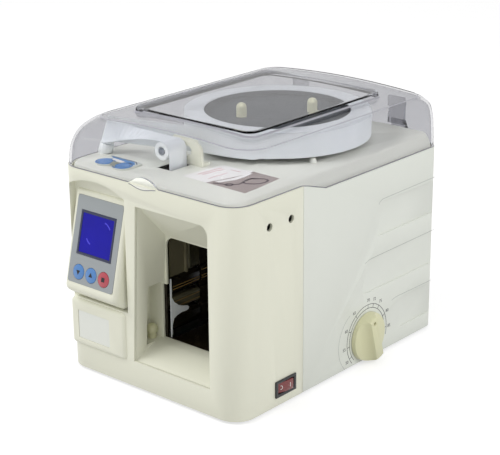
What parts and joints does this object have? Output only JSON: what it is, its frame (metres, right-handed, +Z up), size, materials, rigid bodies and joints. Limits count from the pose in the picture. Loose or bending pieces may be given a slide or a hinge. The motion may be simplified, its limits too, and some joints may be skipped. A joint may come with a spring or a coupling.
{
  "type": "banknote strapping machine",
  "caption": "Desktop machine that wraps a paper tape round a stack of banknotes, with a tape reel under a clear hinged lid.",
  "frame": {"origin": "middle of the footprint, on the surface that the feet stand on", "axes": "+Z up, -Y towards the user at the note mouth, +X to the user's right, where the dial and switch are"},
  "size_m": [0.244, 0.338, 0.264],
  "materials": {
    "casing_cream": "moulded ABS, fine satin",
    "casing_white": "moulded ABS, fine satin",
    "deck_white": "moulded ABS, smooth",
    "clear_lid": "clear blue-grey acrylic",
    "plate_steel": "zinc plated sheet",
    "bright_steel": "polished sheet",
    "black_steel": "gloss black lacquer",
    "bronze_guide": "bronze lacquered sheet",
    "black_rubber": "matt",
    "overlay_grey": "printed polyester film",
    "display_dark": "gloss",
    "display_blue": "lit liquid crystal",
    "board_green": "printed circuit board",
    "button_blue": "gloss",
    "button_red": "gloss",
    "label_white": "blank film",
    "coil_brown": "wound coil",
    "knob_cream": "moulded ABS",
    "switch_black": "moulded nylon",
    "switch_red": "translucent red",
    "paper_white": "coated paper tape",
    "hub_grey": "moulded",
    "roller_white": "acetal",
    "roller_black": "moulded tyre",
    "surround_blue": "moulded"
  },
  "bodies": {
    "casing": {"base_plate": "plate_steel", "rubber_feet": "black_rubber", "front_casing": "casing_cream", "rear_casing": "casing_white", "top_deck": "deck_white", "lid_hinge_pins": "plate_steel", "side_screws": "plate_steel", "display_housing": "casing_cream", "keypad_overlay": "overlay_grey", "lcd_frame": "display_dark", "lcd_glass": "display_blue", "panel_board": "board_green", "lower_cover": "casing_cream", "blank_label": "label_white", "mouth_liner": "casing_cream", "sensor_boss": "knob_cream", "throat_plate_front": "black_steel", "throat_plate_rear": "black_steel", "note_table": "black_steel", "tape_track": "bronze_guide", "anvil_plate": "bright_steel", "side_guide": "black_steel", "right_frame": "plate_steel", "solenoids": "coil_brown", "head_bracket": "plate_steel", "rack_guide": "plate_steel", "dial_bearing": "plate_steel", "switch_bezel": "switch_black", "reel_spindle": "plate_steel", "guide_post": "roller_white", "turn_screw": "plate_steel", "turn_bracket": "knob_cream", "tape_lead": "paper_white", "tape_band": "paper_white", "tape_drop": "paper_white", "key_surround": "surround_blue", "feed_frame": "plate_steel", "feed_motor": "black_steel", "power_supply": "board_green"},
    "lid_assembly": {"lid": "clear_lid"},
    "dial": {"dial_knob": "knob_cream", "dial_shaft": "plate_steel", "dial_pinion": "plate_steel"},
    "stop": {"note_stop": "plate_steel"},
    "rocker": {"power_rocker": "switch_red"},
    "key_down": {"button_down": "button_blue"},
    "key_up": {"button_up": "button_blue"},
    "key_clear": {"button_clear": "button_red"},
    "deck_feed_key": {"feed_key": "button_blue"},
    "deck_back_key": {"back_key": "button_blue"},
    "reel": {"reel_table": "knob_cream", "reel_hub": "hub_grey", "tape_roll": "paper_white"},
    "post_roller": {"guide_roller": "roller_white"},
    "top_roller": {"turn_roller": "roller_white"},
    "clamp_upper": {"upper_clamp": "black_steel"},
    "sealer": {"tape_sealer": "bronze_guide"},
    "clamp_lower": {"lower_clamp": "black_steel"},
    "drive_roller": {"feed_roller": "roller_black"},
    "idle_roller": {"pinch_roller": "plate_steel"}
  },
  "joints": [
    {"name": "lid_hinge", "type": "hinge", "parent": "casing", "child": "lid_assembly", "pos_m": [-0.007, 0.16542, 0.206], "axis": [-1, 0, 0], "range_deg": [0, 100]},
    {"name": "dial_turn", "type": "hinge", "parent": "casing", "child": "dial", "pos_m": [0.108, 0.04142, 0.0285], "axis": [1, 0, 0], "range_deg": [-117, 89]},
    {"name": "stop_slide", "type": "slide", "parent": "casing", "child": "stop", "axis": [0, 1, 0], "range_m": [-0.0194, 0.01476]},
    {"name": "power_switch", "type": "hinge", "parent": "casing", "child": "rocker", "pos_m": [0.104, -0.08808, 0.0205], "axis": [0, 0, 1], "range_deg": [0, 18]},
    {"name": "down_press", "type": "slide", "parent": "casing", "child": "key_down", "axis": [0, 0.9707, -0.2402], "range_m": [0, 0.0008], "stiffness_N_per_m": 600},
    {"name": "up_press", "type": "slide", "parent": "casing", "child": "key_up", "axis": [0, 0.9707, -0.2402], "range_m": [0, 0.0008], "stiffness_N_per_m": 600},
    {"name": "clear_press", "type": "slide", "parent": "casing", "child": "key_clear", "axis": [0, 0.9707, -0.2402], "range_m": [0, 0.0008], "stiffness_N_per_m": 600},
    {"name": "feed_press", "type": "slide", "parent": "casing", "child": "deck_feed_key", "axis": [0, 0, -1], "range_m": [0, 0.0008], "stiffness_N_per_m": 600},
    {"name": "back_press", "type": "slide", "parent": "casing", "child": "deck_back_key", "axis": [0, 0, -1], "range_m": [0, 0.0008], "stiffness_N_per_m": 600},
    {"name": "reel_spin", "type": "hinge", "parent": "casing", "child": "reel", "pos_m": [-0.009, 0.04092, 0.216], "axis": [0, 0, 1], "continuous": true},
    {"name": "post_roller_spin", "type": "hinge", "parent": "casing", "child": "post_roller", "pos_m": [-0.107, -0.10708, 0.216], "axis": [0.2478, 0.1426, 0.9582], "continuous": true},
    {"name": "turn_roller_spin", "type": "hinge", "parent": "casing", "child": "top_roller", "pos_m": [-0.0265, -0.09708, 0.2325], "axis": [0, 1, 0], "continuous": true},
    {"name": "upper_clamp_slide", "type": "slide", "parent": "casing", "child": "clamp_upper", "axis": [1, 0, 0], "range_m": [0, 0.004], "stiffness_N_per_m": 300},
    {"name": "sealer_slide", "type": "slide", "parent": "casing", "child": "sealer", "axis": [1, 0, 0], "range_m": [0, 0.004], "stiffness_N_per_m": 300},
    {"name": "lower_clamp_slide", "type": "slide", "parent": "casing", "child": "clamp_lower", "axis": [1, 0, 0], "range_m": [0, 0.004], "stiffness_N_per_m": 300},
    {"name": "feed_roller_spin", "type": "hinge", "parent": "casing", "child": "drive_roller", "pos_m": [-0.008, -0.09708, 0.186], "axis": [0, 1, 0], "continuous": true},
    {"name": "pinch_roller_spin", "type": "hinge", "parent": "casing", "child": "idle_roller", "pos_m": [-0.026, -0.09708, 0.186], "axis": [0, 1, 0], "continuous": true}
  ],
  "couplings": [
    {"joint": "dial_turn", "follows": "stop_slide", "rad_per_m": 105.26},
    {"joint": "feed_roller_spin", "follows": "pinch_roller_spin", "ratio": -1}
  ]
}
